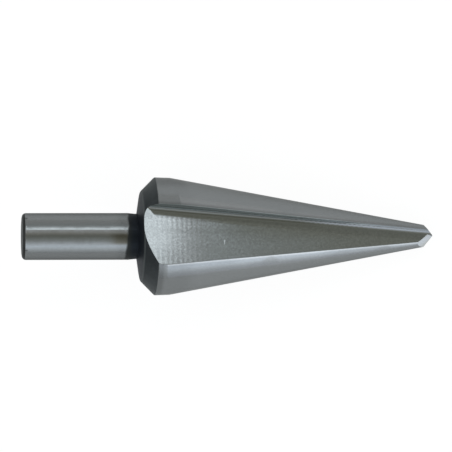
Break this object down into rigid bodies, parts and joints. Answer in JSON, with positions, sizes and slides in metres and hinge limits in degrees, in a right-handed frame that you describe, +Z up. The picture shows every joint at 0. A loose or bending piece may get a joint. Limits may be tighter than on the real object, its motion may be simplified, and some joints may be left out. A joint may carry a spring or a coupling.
{
  "type": "conical sheet metal drill bit",
  "caption": "Conical drill bit with a plain round shank, straight flutes and a split point, for opening and widening holes in sheet metal.",
  "frame": {"origin": "on the table, under the middle of the bit's box as it lies at rest", "axes": "+X from the shank towards the tip, +Z up from the table, +Y towards the land beside the cutting edge of the upper flute"},
  "size_m": [0.0706, 0.0202, 0.0178],
  "materials": {
    "tool_steel": "ground high speed steel, bright on the shank, lands and flutes, dark on the unground back and neck"
  },
  "bodies": {
    "root": {"drill_bit": "tool_steel"}
  },
  "joints": []
}
